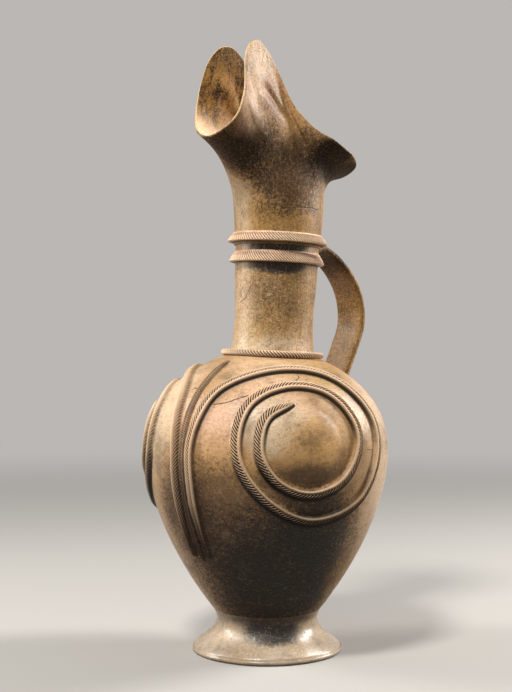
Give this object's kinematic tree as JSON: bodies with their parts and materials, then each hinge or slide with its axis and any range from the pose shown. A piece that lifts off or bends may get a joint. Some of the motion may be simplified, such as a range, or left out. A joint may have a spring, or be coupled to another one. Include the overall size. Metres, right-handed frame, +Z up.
{
  "type": "base ring ware jug",
  "caption": "Handmade base ring ware jug: round body on a flared ring foot, tall ridged neck, cutaway spout, strap handle and raised spiral relief.",
  "frame": {"origin": "bottom centre of the jug: the middle of the ring foot, on the surface it stands on", "axes": "+Z up along the body's axis, -X towards the spout, +X towards the handle, -Y the side shown in the picture's foreground"},
  "size_m": [0.1987, 0.1987, 0.4758],
  "materials": {
    "burnished_slip": "hand-burnished buff to brown slip with a low sheen, fire-clouded dark on the lower front",
    "relief_slip": "lighter buff slip, rubbed smooth on the crests, with fine slanted notches"
  },
  "bodies": {
    "root": {"ring_foot": "burnished_slip", "body": "burnished_slip", "neck_tube": "burnished_slip", "spouted_mouth": "burnished_slip", "strap_handle": "burnished_slip", "upper_neck_ridge": "burnished_slip", "lower_neck_ridge": "burnished_slip", "collar_cord": "relief_slip", "right_spiral": "relief_slip", "left_spiral": "relief_slip", "centre_strip": "relief_slip"}
  },
  "joints": []
}
